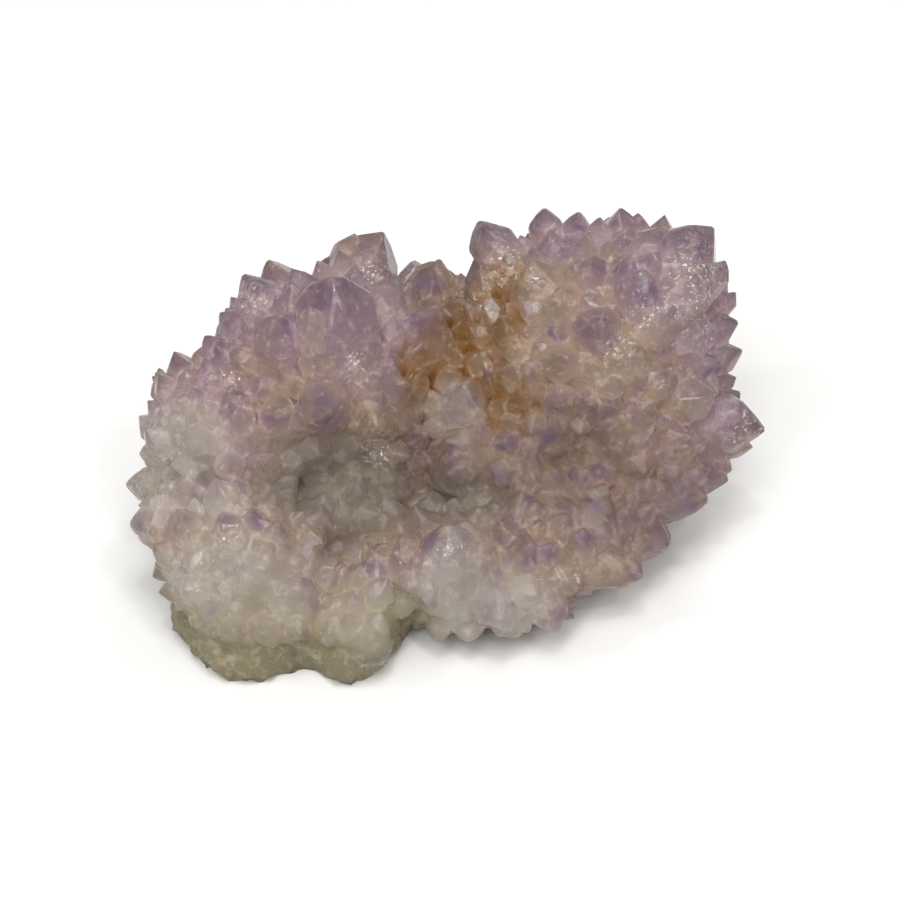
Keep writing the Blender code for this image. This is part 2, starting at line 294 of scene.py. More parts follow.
# chief points: tip across and up, turn, tilt, radius and standing length
chiefPoints = {
    "leftCrown": (-14.5, 34.5, -5, 45, 5.6, 9.0),
    "leftSecond": (-0.8, 31.0, 25, 40, 5.0, 8.0),
    "leftPeak": (-8.5, 42.6, 24, 10, 4.6, 8.5),
    "leftCorner": (-27.4, 36.9, -34, 10, 4.0, 7.0),
    "saddleLeft": (-1.5, 38.4, 10, 20, 4.0, 6.5),
    "saddleRight": (5.2, 44.2, -32, 10, 3.8, 8.5),
    "rightCrest": (14.4, 46.8, -8, 15, 2.8, 6.0),
    "rightCrestMiddle": (19.3, 46.2, 4, 15, 3.0, 6.0),
    "rightCrestRight": (24.0, 45.6, 4, 10, 3.0, 6.0),
    "rightCorner": (37.0, 43.2, 38, 15, 6.4, 12.0),
    "rightEdge": (41.2, 30.3, 70, 10, 3.0, 6.0),
    "rightEdgeLow": (42.8, 20.8, 65, 10, 2.8, 5.5),
    "rightSpear": (45.0, 15.4, 98, 15, 4.6, 8.5),
    "rightLow": (37.4, 5.2, 105, 20, 4.4, 7.5),
    "rightMiddle": (27.0, 36.5, 5, 50, 3.6, 7.5),
    "rightPurple": (25.5, 38.6, -5, 40, 3.2, 7.0),
    "centrePale": (3.6, 19.6, -10, 70, 3.8, 6.5),
    "centreRight": (10.4, 12.4, 15, 70, 3.8, 6.0),
    "centreLeft": (0.6, 13.6, -20, 75, 3.0, 5.0),
    "hollowPoint": (-9.0, 12.6, -15, 65, 4.4, 6.0),
    "stainedPoint": (-0.6, 31.8, -70, 30, 3.0, 6.0),
    "frontCrest": (1.2, 2.3, 0, 35, 4.8, 6.5),
    "frontSmall": (-8.6, -2.0, 5, 40, 3.2, 5.0),
    "frontLeftDome": (-19.5, -5.5, 5, 60, 4.2, 5.0),
    "frontLeftCrown": (-34.5, 8.6, -10, 65, 5.2, 6.0),
    "frontLeftLow": (-36.2, -4.0, -60, 35, 3.4, 5.0),
    "leftEdge": (-44.6, 7.6, -85, 15, 2.6, 6.0),
    "leftEdgeLow": (-43.0, 2.2, -95, 15, 3.2, 6.0),
    "rimBottom": (8.2, -11.5, 170, 55, 4.6, 5.5),
    "rimBottomLeft": (-2.0, -7.5, 190, 65, 3.6, 5.0),
    "rimBottomRight": (16.0, -12.0, 150, 35, 3.0, 5.0),
}

crustShape = {
    "seed": 11,
    "chiefOverlap": 0.7,
    "leastCollar": 0.2,
    "root": 1.6,
    "largeLift": (0.0, 0.1),     # how far past the tip the large and small faces would meet
    "smallLift": (0.12, 0.38),
    "rounds": ((3.1, 3.7, 2500), (2.5, 3.1, 4000), (2.0, 2.5, 6000)),
    "spacing": 0.76,
    "standingShare": 0.22,
    "standingCollar": (0.4, 1.0),
    "stubbyCollar": (-0.25, 0.05),
    "lean": 0.2,
    "lift": 0.1,
    "clearOfGround": 0.5,
}


def hexPrism(radius, low, high):
    bm = bmesh.new()
    middle = Matrix.Translation((0, 0, (low + high) / 2))
    bmesh.ops.create_cone(
        bm, cap_ends=True, segments=6, radius1=radius, radius2=radius, depth=high - low, matrix=middle
    )
    return bm


def standMatrix(place, way, spin):
    turn = Vector((0, 0, 1)).rotation_difference(way).to_matrix().to_4x4()
    return Matrix.Translation(place) @ turn @ Matrix.Rotation(spin, 4, "Z")


def onBody(surface, across, up):
    hit = surface.ray_cast(inView(across, up, viewLook["rayFrom"]), -nearWay)[0]
    if hit is not None:
        return hit
    depths = [inView(across, up, step) for step in range(*viewLook["probes"])]
    return min(depths, key=lambda probe: surface.find_nearest(probe)[3])


def randomPlace(face, rng):
    a, b = rng.random(), rng.random()
    if a + b > 1:
        a, b = 1 - a, 1 - b
    weights = (1 - a - b, a, b)
    place = sum((vert.co * weight for vert, weight in zip(face.verts, weights)), Vector())
    normal = sum((vert.normal * weight for vert, weight in zip(face.verts, weights)), Vector())
    return place, normal.normalized()


def lowestPart(bm, matrix):
    return min((matrix @ vert.co).z for vert in bm.verts)


def newPoint(kind, place, way, radius, collar, spin, lifts=(), root=crustShape["root"], name=""):
    return {"kind": kind, "place": place, "way": way, "radius": radius, "collar": collar, "spin": spin,
            "lifts": lifts, "root": root, "name": name, "calm": 0}


def standInView(surface, across, up, turn, tilt, radius, length):  # a point placed by its tip
    way = wayInView(turn, tilt)
    foot = inView(across, up) - way * length
    place = onBody(surface, foot.dot(rightWay), foot.dot(upWay))
    return place, way, radius, max(length - radius * tipHeight, crustShape["leastCollar"])


# drawn in the frame's order with the frame's seed, so that each point stands where the frame has it
def framePoints(body):
    shape = crustShape
    rng = random.Random(shape["seed"])
    surface = BVHTree.FromBMesh(body)
    points, taken = [], []
    for name, tip in chiefPoints.items():
        place, way, radius, collar = standInView(surface, *tip)
        lifts = [rng.uniform(*(shape["largeLift"] if side % 2 else shape["smallLift"])) for side in range(6)]
        spin = rng.uniform(0, math.pi / 3)
        points.append(newPoint("chief", place, way, radius, collar, spin, lifts, name=name))
        taken.append((place, radius * shape["chiefOverlap"]))
        taken.append((place + way * collar, radius * shape["chiefOverlap"]))
    body.normal_update()
    areas = [face.calc_area() for face in body.faces]
    for least, most, tries in shape["rounds"]:
        for face in rng.choices(body.faces[:], weights=areas, k=tries):
            place, normal = randomPlace(face, rng)
            radius = rng.uniform(least, most)
            crowded = any((place - other).length < shape["spacing"] * (radius + size)
                          for other, size in taken)
            if isBare(place, normal) or crowded:
                continue
            lean = Vector((rng.gauss(0, shape["lean"]), rng.gauss(0, shape["lean"]),
                           rng.gauss(shape["lift"], shape["lean"])))
            standing = rng.random() < shape["standingShare"]
            collar = radius * rng.uniform(*(shape["standingCollar"] if standing else shape["stubbyCollar"]))
            for _ in range(3):  # the frame draws these for its rough tips
                rng.random()
            way = (normal + lean).normalized()
            spin = rng.uniform(0, math.pi / 3)
            plain = hexPrism(radius, -radius - shape["root"], collar)
            low = lowestPart(plain, standMatrix(place, way, spin))
            plain.free()
            tip = place + way * (collar + radius * tipHeight)
            if min(low, tip.z) < shape["clearOfGround"]:
                continue
            points.append(newPoint("crust", place, way, radius, collar, spin))
            taken.append((place, radius))
    return points


# smaller points that the photo shows beside the chief ones, and in the stained valley; as chiefPoints
companionPoints = {
    "besidePeak": (-14.3, 40.3, -10, 10, 2.6, 5.0),
    "belowPeak": (-17.1, 38.6, -20, 15, 2.4, 4.5),
    "saddleRidge": (-0.7, 39.2, 30, 20, 2.6, 5.0),
    "crestRight": (27.6, 45.6, 5, 10, 2.4, 5.0),
    "crestFarRight": (31.1, 45.1, 10, 12, 2.6, 5.0),
    "stainTopLeft": (1.5, 34.3, -15, 40, 3.0, 4.5),
    "stainTop": (5.1, 37.2, -20, 35, 2.4, 4.5),
    "stainTopRight": (8.2, 38.6, 10, 35, 2.2, 4.0),
    "stainRight": (11.0, 35.4, -10, 50, 2.4, 4.0),
    "stainUpper": (4.0, 30.8, 0, 55, 3.2, 4.5),
    "stainUpperRight": (8.2, 30.8, -30, 45, 2.6, 3.6),
    "stainMiddle": (1.3, 27.1, -10, 60, 2.8, 4.0),
    "stainMiddleRight": (6.1, 26.1, 15, 60, 2.8, 4.0),
    "stainLowRight": (9.9, 24.3, 5, 65, 2.8, 4.0),
    "stainLowLeft": (-1.5, 20.6, -20, 60, 2.4, 4.0),
    "stainLow": (8.9, 19.5, 20, 60, 2.2, 3.5),
}

# the finished points: how they are turned, sunk, cut and bevelled
pointFinish = {
    "seed": 5,
    # times wider, and mm further out
    "fuller": {"centrePale": (1.25, 4.0), "leftPeak": (1.15, 0), "leftCrown": (1.12, 0.8),
               "leftSecond": (1.15, 0.8), "centreRight": (1.15, 0.6), "hollowPoint": (1.1, 0.6)},
    "crustFuller": 1.16,
    "ceiling": 46.2,        # mm above the ground that no tip passes
    "deepest": 0.8,         # mm that a point of the frame may start below the finished body
    "upwards": 0.28,        # how much the points of the crust turn up in the view
    "turnFrom": -0.2,       # but not those that face down more than this
    "standsUp": 0.1,        # a point that rises more than this is kept off the ground and the ceiling
    "tipSpare": 1.1,        # tip heights left below the ceiling
    "leastRoot": 0.3,       # for a radius of 1
    "crustLarge": (0.0, 0.1),
    "crustSmall": (0.04, 0.28),
    "bevel": {"chief": 0.36, "crust": 0.3, "small": 0.2},   # mm
    "calmBevel": 1.6,       # times that width where the crust is calm
    "calmSink": 0.18,       # how far points sink into the calm crust, for a radius of 1
    "underSink": 0.3,       # on the underside
    "underRise": (0.15, -0.35),  # from none to all of it, by how a point rises
    "footSink": 0.85,       # and into the foot
    "footRise": (11.0, 8.0),     # mm above the ground, none to all
    "leftEdge": (-22.0, -31.0),  # mm, where points begin to be finer, and by how much
    "leftFiner": 0.58,
    "leftSink": 0.18,
    "chiefChance": 0.6,     # the least chance number of a chief point
    "tipReach": 1.2,        # tip heights that a point's middle line goes on past its collar
    "clearance": 0.05,      # mm between points that join in one round
}


def turnedUp(way):
    if way.z < pointFinish["turnFrom"]:
        return way
    return (way + upWay * pointFinish["upwards"]).normalized()


# the frame's point as it is seen: finer at the left, sunk where the crust is calm
def settlePoint(point, surface):
    finish = pointFinish
    place, radius = point["place"], point["radius"]
    point["calm"] = insidePool(place, "calm")
    if point["kind"] == "chief":
        wider, further = finish["fuller"].get(point["name"], (1, 0))
        point["radius"] *= wider
        point["collar"] += further
        return
    point["collar"] -= radius * finish["underSink"] * easeBetween(point["way"].z, *finish["underRise"])
    point["way"] = turnedUp(point["way"])
    below, normal = surface.find_nearest(place)[:2]
    buried = (below - place).dot(normal)
    if buried > finish["deepest"]:
        point["place"] = place + normal * (buried - finish["deepest"])
    if place.y < bodyShape["footNorth"] and place.x < bodyShape["footEast"] + radius:
        point["collar"] -= radius * finish["footSink"] * easeBetween(place.z, *finish["footRise"])
    point["collar"] -= radius * finish["calmSink"] * point["calm"]
    atLeft = easeBetween(place.x, *finish["leftEdge"])
    point["radius"] *= finish["crustFuller"] + (finish["leftFiner"] - finish["crustFuller"]) * atLeft
    point["collar"] *= 1 + (finish["leftFiner"] - 1) * atLeft
    point["collar"] -= radius * finish["leftSink"] * atLeft


def cutTip(bm, radius, collar, lifts):
    tip = radius * tipHeight
    for side, lift in enumerate(lifts):
        around = math.radians(60 * side + 30)
        flat = math.sin(tipSlope)
        slope = Vector((math.cos(around) * flat, math.sin(around) * flat, math.cos(tipSlope)))
        everything = bm.verts[:] + bm.edges[:] + bm.faces[:]
        apex = Vector((0, 0, collar + tip + tip * lift))
        bmesh.ops.bisect_plane(bm, geom=everything, plane_co=apex, plane_no=slope, clear_outer=True)
        closeRim(bm)


def finishedPoint(point, rng):
    finish = pointFinish
    radius, collar, rise = point["radius"], point["collar"], point["way"].z
    root = radius + point["root"]
    if rise > finish["standsUp"]:  # no root comes out below, and no tip stands too high
        above = finish["ceiling"] - point["place"].z
        below = point["place"].z - crustShape["clearOfGround"]
        collar = min(collar, above / rise - radius * tipHeight * finish["tipSpare"])
        root = min(root, (below - radius * math.sqrt(1 - rise * rise)) / rise)
        root = max(radius * finish["leastRoot"], root)
    bm = hexPrism(radius, -root, collar + 2 * radius * tipHeight)
    cutTip(bm, radius, collar, point["lifts"])
    upper = [edge for edge in bm.edges if max(vert.co.z for vert in edge.verts) > collar - radius]
    width = finish["bevel"][point["kind"]] * (1 + (finish["calmBevel"] - 1) * point["calm"])
    worn = set(bmesh.ops.bevel(bm, geom=upper, offset=width, segments=1, affect="EDGES",
                               clamp_overlap=True)["faces"])
    top = max(vert.co.z for vert in bm.verts)
    # kept on the corners: depth below the tip in cm, a chance number, the radius in cm,
    # and 1 on a face, 0.5 on a worn edge and 0 on the body
    growth = bm.loops.layers.float_color.new("growth")
    chance = rng.random()
    if point["kind"] == "chief":
        chance = finish["chiefChance"] + (1 - finish["chiefChance"]) * chance
    for face in bm.faces:
        for corner in face.loops:
            depth = (top - corner.vert.co.z) / 10
            corner[growth] = (depth, chance, radius / 10, 0.5 if face in worn else 1)
    matrix = standMatrix(point["place"], point["way"], point["spin"])
    bmesh.ops.transform(bm, matrix=matrix, verts=bm.verts)
    bmesh.ops.recalc_face_normals(bm, faces=bm.faces)
    if bm.calc_volume(signed=True) < 0:
        bmesh.ops.reverse_faces(bm, faces=bm.faces)
    mesh = bpy.data.meshes.new("point")
    bm.to_mesh(mesh)
    bm.free()
    low = point["place"] - point["way"] * root
    high = point["place"] + point["way"] * (collar + radius * tipHeight * finish["tipReach"])
    return {"mesh": mesh, "low": low, "high": high, "radius": radius,
            "middle": (low + high) / 2, "reach": (high - low).length / 2 + radius}


def gapBetween(one, other):  # nearest distance between two points' middle lines, probed along the first
    line = other["high"] - other["low"]
    nearest = math.inf
    for step in range(6):
        probe = one["low"].lerp(one["high"], step / 5)
        along = max(0.0, min(1.0, (probe - other["low"]).dot(line) / line.length_squared))
        nearest = min(nearest, (probe - other["low"] - line * along).length)
    return nearest


def touching(one, other):
    if (one["middle"] - other["middle"]).length > one["reach"] + other["reach"]:
        return False
    return gapBetween(one, other) < one["radius"] + other["radius"] + pointFinish["clearance"]


def sortIntoRounds(grown):  # points of one round never touch each other, so each round joins in one go
    rounds = []
    for one in grown:
        for members in rounds:
            if not any(touching(one, other) for other in members):
                members.append(one)
                break
        else:
            rounds.append([one])
    return rounds


def growOnto(body, grown):
    for members in sortIntoRounds(grown):
        bm = bmesh.new()
        for one in members:
            bm.from_mesh(one["mesh"])
            bpy.data.meshes.remove(one["mesh"])
        tool = newObject("tool", bm)
        joined = newObject("joined", body)
        union = joined.modifiers.new("union", "BOOLEAN")
        union.operation = "UNION"
        union.solver = "MANIFOLD"
        union.object = tool
        body = takeMesh(joined)
        bpy.data.objects.remove(tool)
    return body


def chanceLifts(rng):
    first = rng.randrange(2)
    return [rng.uniform(*(pointFinish["crustLarge"] if (side + first) % 2 else pointFinish["crustSmall"]))
            for side in range(6)]


def companions(surface, rng):
    return [newPoint("crust", *standInView(surface, *tip), rng.uniform(0, math.pi / 3), chanceLifts(rng))
            for tip in companionPoints.values()]


# smaller points grown in step with a larger one, for whose radius of 1 these are
shoulderShape = {
    "share": {"chief": 0.9, "crust": 0.45},  # of the points that have them
    "count": (1, 1, 2, 3),
    "radius": (0.28, 0.5),
    "out": (0.55, 0.85),
    "drop": (0.1, 0.6),
    "slope": 1.1,
    "collar": (0.3, 1.0),  # for a drop of 1
    "root": 2,             # for a radius of their own of 1
}


def shoulders(point, rng):
    shape = shoulderShape
    if rng.random() > shape["share"][point["kind"]]:
        return []
    made = []
    sideways = standMatrix(Vector(), point["way"], 0)
    for _ in range(rng.choice(shape["count"])):
        radius = point["radius"] * rng.uniform(*shape["radius"])
        around = rng.uniform(0, 2 * math.pi)
        out = point["radius"] * rng.uniform(*shape["out"])
        offset = sideways @ Vector((math.cos(around) * out, math.sin(around) * out, 0))
        height = point["collar"] + (point["radius"] - out) * shape["slope"]
        drop = point["radius"] * rng.uniform(*shape["drop"])
        place = point["place"] + offset + point["way"] * (height - drop)
        made.append(newPoint("small", place, point["way"], radius, drop * rng.uniform(*shape["collar"]),
                             point["spin"], chanceLifts(rng), radius * shape["root"]))
    return made


# points that ring the foot of a chief point and hide its bare sides, for whose radius of 1 these are
skirtShape = {
    "leastSide": 1.2,        # mm of bare side that a point has before others ring it
    "mostCalm": 0.5,
    "alone": "centrePale",   # nothing rings this one
    "count": (4, 6),
    "turn": (-0.3, 0.3),     # for a turn of 1 to the next
    "radius": (0.34, 0.52),
    "out": (0.75, 1.0),
    "lean": (0.1, 0.35),
    "height": (-0.1, 0.75),  # for a bare side of 1
    "sink": 0.6,             # for a radius of their own of 1, as are collar and root
    "collar": (0, 0.8),
    "spin": (-0.2, 0.2),
    "root": 1.5,
}


def skirt(point, rng):
    shape = skirtShape
    if point["kind"] != "chief" or point["collar"] < shape["leastSide"]:
        return []
    if point["calm"] > shape["mostCalm"] or point["name"] == shape["alone"]:
        return []
    made = []
    sideways = standMatrix(Vector(), point["way"], point["spin"])
    count = rng.randint(*shape["count"])
    for turn in range(count):
        around = 2 * math.pi * (turn + rng.uniform(*shape["turn"])) / count
        out = sideways @ Vector((math.cos(around), math.sin(around), 0))
        radius = point["radius"] * rng.uniform(*shape["radius"])
        height = point["collar"] * rng.uniform(*shape["height"]) - radius * shape["sink"]
        place = point["place"] + out * point["radius"] * rng.uniform(*shape["out"]) + point["way"] * height
        way = (point["way"] + out * rng.uniform(*shape["lean"])).normalized()
        made.append(newPoint("small", place, way, radius, radius * rng.uniform(*shape["collar"]),
                             point["spin"] + rng.uniform(*shape["spin"]), chanceLifts(rng),
                             radius * shape["root"]))
    return made


# small points in the gaps between the larger ones
fillShape = {
    "rounds": ((1.9, 2.7, 4000), (1.4, 1.9, 3000), (0.6, 1.0, 9000)),
    "spacing": 0.74,
    "above": 0.9,     # mm above the body where they still sprout
    "fineFrom": 1.0,  # mm; smaller ones than this only grow at the left edge, and up to this height
    "fineAbove": 3.2,
    "collar": (-0.45, 0.5),
    "lean": 0.22,
    "root": 1.0,
}


def fillPoints(crusted, surface, rng):
    shape = fillShape
    made = []
    crusted.normal_update()
    areas = [face.calc_area() for face in crusted.faces]
    cells = {}
    side = 2 * max(most for least, most, tries in shape["rounds"])
    for least, most, tries in shape["rounds"]:
        fine = most <= shape["fineFrom"]
        for face in rng.choices(crusted.faces[:], weights=areas, k=tries):
            spot = randomPlace(face, rng)[0]
            radius = rng.uniform(least, most)
            below, normal = surface.find_nearest(spot)[:2]
            height = (spot - below).dot(normal)
            atLeft = spot.x < sum(pointFinish["leftEdge"]) / 2
            ceiling = shape["fineAbove"] if fine else shape["above"]
            if height > ceiling or isBare(below, normal) or (fine and not atLeft):
                continue
            cell = tuple(int(value // side) for value in spot)
            near = [other for x in (-1, 0, 1) for y in (-1, 0, 1) for z in (-1, 0, 1)
                    for other in cells.get((cell[0] + x, cell[1] + y, cell[2] + z), ())]
            if any((spot - place).length < shape["spacing"] * (radius + size) for place, size in near):
                continue
            lean = Vector((rng.gauss(0, 1), rng.gauss(0, 1), rng.gauss(0, 1))) * shape["lean"]
            way = turnedUp((normal + lean).normalized())
            sink = pointFinish["calmSink"] * insidePool(spot, "calm")
            collar = radius * (rng.uniform(*shape["collar"]) - sink)
            if spot.z - radius < crustShape["clearOfGround"]:
                continue
            cells.setdefault(cell, []).append((spot, radius))
            made.append(newPoint("small", spot, way, radius, collar, rng.uniform(0, math.pi / 3),
                                 chanceLifts(rng), shape["root"]))
    return made


def keepOuterShell(bm):
    left = set(bm.faces)
    outer = []
    while left:
        shell = [left.pop()]
        for face in shell:
            beside = {other for edge in face.edges for other in edge.link_faces} & left
            shell.extend(beside)
            left -= beside
        outer = max(outer, shell, key=len)
    inner = list(set(bm.faces) - set(outer))
    bmesh.ops.delete(bm, geom=inner, context="FACES")
    return len(inner)


coarse = coarseBody()
standing = framePoints(coarse)
coarse.free()
print("points of the frame:", len(standing))

growRandom = random.Random(pointFinish["seed"])
cluster = fineBody()
surface = BVHTree.FromBMesh(cluster)
for point in standing:
    settlePoint(point, surface)
    if point["kind"] == "crust":
        point["lifts"] = chanceLifts(growRandom)
satellites = []
for point in standing:
    satellites += shoulders(point, growRandom) + skirt(point, growRandom)
bodyCorner = (0.5, 0.5, 0.3, 0)  # as finishedPoint keeps them on its corners
bodyGrowth = cluster.loops.layers.float_color.new("growth")
for face in cluster.faces:
    for corner in face.loops:
        corner[bodyGrowth] = bodyCorner
standing += companions(surface, growRandom)
cluster = growOnto(cluster, [finishedPoint(point, growRandom) for point in standing])
print("crust grown on the body:", len(cluster.faces), "faces")
fillers = fillPoints(cluster, surface, growRandom)
cluster = growOnto(cluster, [finishedPoint(point, growRandom) for point in satellites + fillers])
print("small points grown:", len(satellites), "on shoulders and", len(fillers), "in gaps")
print("faces sealed inside, dropped:", keepOuterShell(cluster))

# the calm crust worn soft: long edges are halved, then the corners drawn towards their neighbours
wearLook = {"halvings": 2, "longEdge": 0.85, "above": 1, "least": (0.35, 0.7), "draw": 0.5}  # mm and shares


def wearCalm(bm):
    look = wearLook
    for _ in range(look["halvings"]):
        bmesh.ops.triangulate(bm, faces=bm.faces)
        halved = []
        for edge in bm.edges:
            middle = (edge.verts[0].co + edge.verts[1].co) / 2
            if edge.calc_length() > look["longEdge"] and middle.z > look["above"]:
                if insidePool(middle, "calm") > look["least"][0]:
                    halved.append(edge)
        bmesh.ops.subdivide_edges(bm, edges=halved, cuts=1)
    bmesh.ops.triangulate(bm, faces=bm.faces)
    shares = [insidePool(vert.co, "calm") if vert.co.z > look["above"] else 0
              for vert in bm.verts]
    for least in look["least"]:
        drawn = [vert for vert, share in zip(bm.verts, shares) if share > least]
        bmesh.ops.smooth_vert(bm, verts=drawn, factor=look["draw"],
                              use_axis_x=True, use_axis_y=True, use_axis_z=True)


def dropFlaps(bm):  # pairs of faces that lie folded onto each other
    sharing = {}
    for face in bm.faces:
        sharing.setdefault(frozenset(face.verts), []).append(face)
    flaps = [face for faces in sharing.values() if len(faces) > 1 for face in faces]
    bmesh.ops.delete(bm, geom=flaps, context="FACES")
    return len(flaps)


wearCalm(cluster)
print("calm crust worn:", len(cluster.faces), "faces; folded faces dropped:", dropFlaps(cluster))

# what each corner of the crust sees of the sky, which is also used to paint shade into the colour of closed
# corners; mm
opennessLook = {"rays": 20, "reach": 7.0, "lift": 0.02}


def skyRays(count):  # even spread over the upper half, more of them near upright
    golden = math.pi * (3 - math.sqrt(5))
    rays = []
    for index in range(count):
        share = (index + 0.5) / count
        out = math.sqrt(share)
        rays.append(Vector((math.cos(golden * index) * out, math.sin(golden * index) * out,
                            math.sqrt(1 - share))))
    return rays


def openness(bm):
    around = BVHTree.FromBMesh(bm)
    rays = skyRays(opennessLook["rays"])
    reach = opennessLook["reach"]
    shares = []
    for vert in bm.verts:
        turn = Vector((0, 0, 1)).rotation_difference(vert.normal).to_matrix()
        start = vert.co + vert.normal * opennessLook["lift"]
        seen = 0.0
        for ray in rays:
            distance = around.ray_cast(start, turn @ ray, reach)[3]
            seen += 1.0 if distance is None else distance / reach
        shares.append(seen / len(rays))
    return shares


def asSeen(place):
    return Vector((place.dot(rightWay), place.dot(upWay), place.dot(nearWay)))


def pushed(place, scale, push):
    return place + noise.noise_vector(place * scale) * push


def regionShares(place):
    look = regionLook
    seen = asSeen(pushed(place, *look["viewWander"]))
    clean = insidePool(seen, "clean")
    stain = insidePool(seen, "stain") * (1 - clean)
    for wander in look["wander"]:
        place = pushed(place, *wander)
    frost = max(clean * look["cleanFrost"], insidePool(place, "frost"))
    return stain, insidePool(place, "hollow"), frost, insidePool(place, "lilac")


def footShare(place):  # 1 on the foot, fading upwards into the crust
    look, shape = regionLook, bodyShape
    place = pushed(place, *look["footWander"])
    beside = easeBetween(place.x, shape["footEast"] + look["footEdge"], shape["footEast"])
    before = easeBetween(place.y, shape["footNorth"] + look["footEdge"], shape["footNorth"])
    return easeBetween(place.z, *look["footFade"]) * beside * before


# what is shaded sharp and flat: ridges of more degrees, and the faces of points wider in mm, unless calm
shadeLook = {"ridge": 58, "wide": 4.1, "onFace": 0.9, "calm": 0.2}


def finishMesh(bm):
    look = shadeLook
    bmesh.ops.triangulate(bm, faces=bm.faces)
    bm.normal_update()
    for edge in bm.edges:  # the valleys between grown-together points look soft
        edge.smooth = not edge.is_convex or edge.calc_face_angle(0) < math.radians(look["ridge"])
    growth = bm.loops.layers.float_color["growth"]
    for face in bm.faces:
        wide = all(corner[growth][3] > look["onFace"] and corner[growth][2] > look["wide"] / 10
                   for corner in face.loops)
        face.smooth = not wide or insidePool(face.calc_center_median(), "calm") > look["calm"]
    shares = openness(bm)
    openLayer = bm.verts.layers.float.new("openness")
    groundLayer = bm.verts.layers.float_color.new("ground")  # bare quartz, near the foot, sparkling, in painted shade
    regionLayer = bm.verts.layers.float_color.new("regions")
    for vert, share in zip(bm.verts, shares):
        vert[openLayer] = share
        vert[groundLayer] = (bareShare(vert.co, vert.normal), footShare(vert.co),
                             insidePool(asSeen(vert.co), "sparkle"), insidePool(vert.co, "paintedShade"))
        vert[regionLayer] = regionShares(vert.co)
    bmesh.ops.scale(bm, vec=(metres,) * 3, verts=bm.verts)


finishMesh(cluster)
crust = newObject("quartzCrust", cluster)
rounding = crust.modifiers.new("rounding", "WEIGHTED_NORMAL")  # faces stay flat and worn edges look round
rounding.keep_sharp = True
print("triangles:", len(crust.data.polygons))


# the milky quartz; colours as a screen shows them, depths in mm
quartzLook = {
    "body": "887362",
    "lilac": "88727a",
    # painted shade, for the darker pools
    "paintedShade": "6e5a4c",
    "violet": "77606f",
    "deepViolet": "634d64",
    # grey-green, and darkened as painted shade of the hollow
    "hollow": "6d675a",
    # painted shade for the gaps between points and the closed corners
    "valleyShade": "67554a",
    "pale": "a89e94",
    "frost": "948e83",
    "stain": "77572a",
    "deepStain": "62401a",
    # near-white, for painted glints
    "paintedGlint": "f0ebe4",
    "foot": "756a52",
    "footPatch": "9a927f",
    "footGreen": "706b53",
    "footFrost": "88806a",
    # how much of its colour each place takes; gaps and corners take the valley's painted shade
    "share": {"lilac": 0.75, "paintedShade": 0.6, "hollow": 0.85, "frost": 0.85, "violet": 0.62, "deepViolet": 0.45,
              "gap": 0.25, "corner": 0.28, "stain": 0.82, "deepStain": 0.85, "paintedGlint": 0.82},
    "clouds": ((0.36, 2, 0.3), (0.8, 3, 0.4), (1.9, 3)),  # how many to a mm, detail and warp
    "bumpDepth": 0.05,
    "grainDepth": 0.2,
    "sparkleDepth": 0.28,
    "roughness": (0.12, 0.28),  # clear and milky
    "dullBy": 0.3,         # rougher in the hollow, in the pools of painted shade and on the bare quartz
    "glintBy": 0.3,        # and smoother where it sparkles
    "clearness": (0.05, 0.35),  # down the sides and at the tip
    "ior": 1.544,
    "sheen": 0.3,
    "haze": 1.0,
    "scatter": 7.0,
    "scatterTint": (1.0, 0.92, 0.9),
    "absorb": ("d6c8da", 30),
}


def screenColour(code):
    levels = [int(code[at:at + 2], 16) / 255 for at in (0, 2, 4)]
    return (*[level / 12.92 if level <= 0.04045 else ((level + 0.055) / 1.055) ** 2.4
              for level in levels], 1)


milkyQuartz = bpy.data.materials.new("milkyQuartz")
milkyQuartz.use_nodes = True
tree = milkyQuartz.node_tree
tree.nodes.clear()


def addNode(kind, inputs=None, **settings):
    made = tree.nodes.new(kind)
    for name, value in settings.items():
        setattr(made, name, value)
    for name, value in (inputs or {}).items():
        if isinstance(value, bpy.types.NodeSocket):
            tree.links.new(value, made.inputs[name])
        else:
            made.inputs[name].default_value = value
    return made


def maths(operation, first, second=0.0, clamp=False):
    return addNode("ShaderNodeMath", {0: first, 1: second}, operation=operation, use_clamp=clamp).outputs[0]


def times(first, second):
    return maths("MULTIPLY", first, second)


def ease(value, start, end, low=0.0, high=1.0):  # a smooth step from low to high
    return addNode("ShaderNodeMapRange", {0: value, 1: start, 2: end, 3: low, 4: high},
                   interpolation_type="SMOOTHSTEP").outputs[0]


def mixed(share, under, over):  # two colours, each a code or a socket
    colours = [screenColour(value) if isinstance(value, str) else value for value in (under, over)]
    made = addNode("ShaderNodeMix", {0: share, 6: colours[0], 7: colours[1]}, data_type="RGBA")
    return made.outputs[2]


def cloud(place, scale, detail, warp=0.0):
    return addNode("ShaderNodeTexNoise", {"Vector": place, "Scale": scale, "Detail": detail,
                                          "Distortion": warp}).outputs[0]


def stored(name):  # the four numbers that the mesh keeps under this name
    kept = addNode("ShaderNodeAttribute", attribute_name=name)
    return *addNode("ShaderNodeSeparateColor", {0: kept.outputs["Color"]}).outputs, kept.outputs["Alpha"]


def coat(colour, name, places):  # the named colour laid over its places
    return mixed(times(places, quartzLook["share"][name]), colour, quartzLook[name])


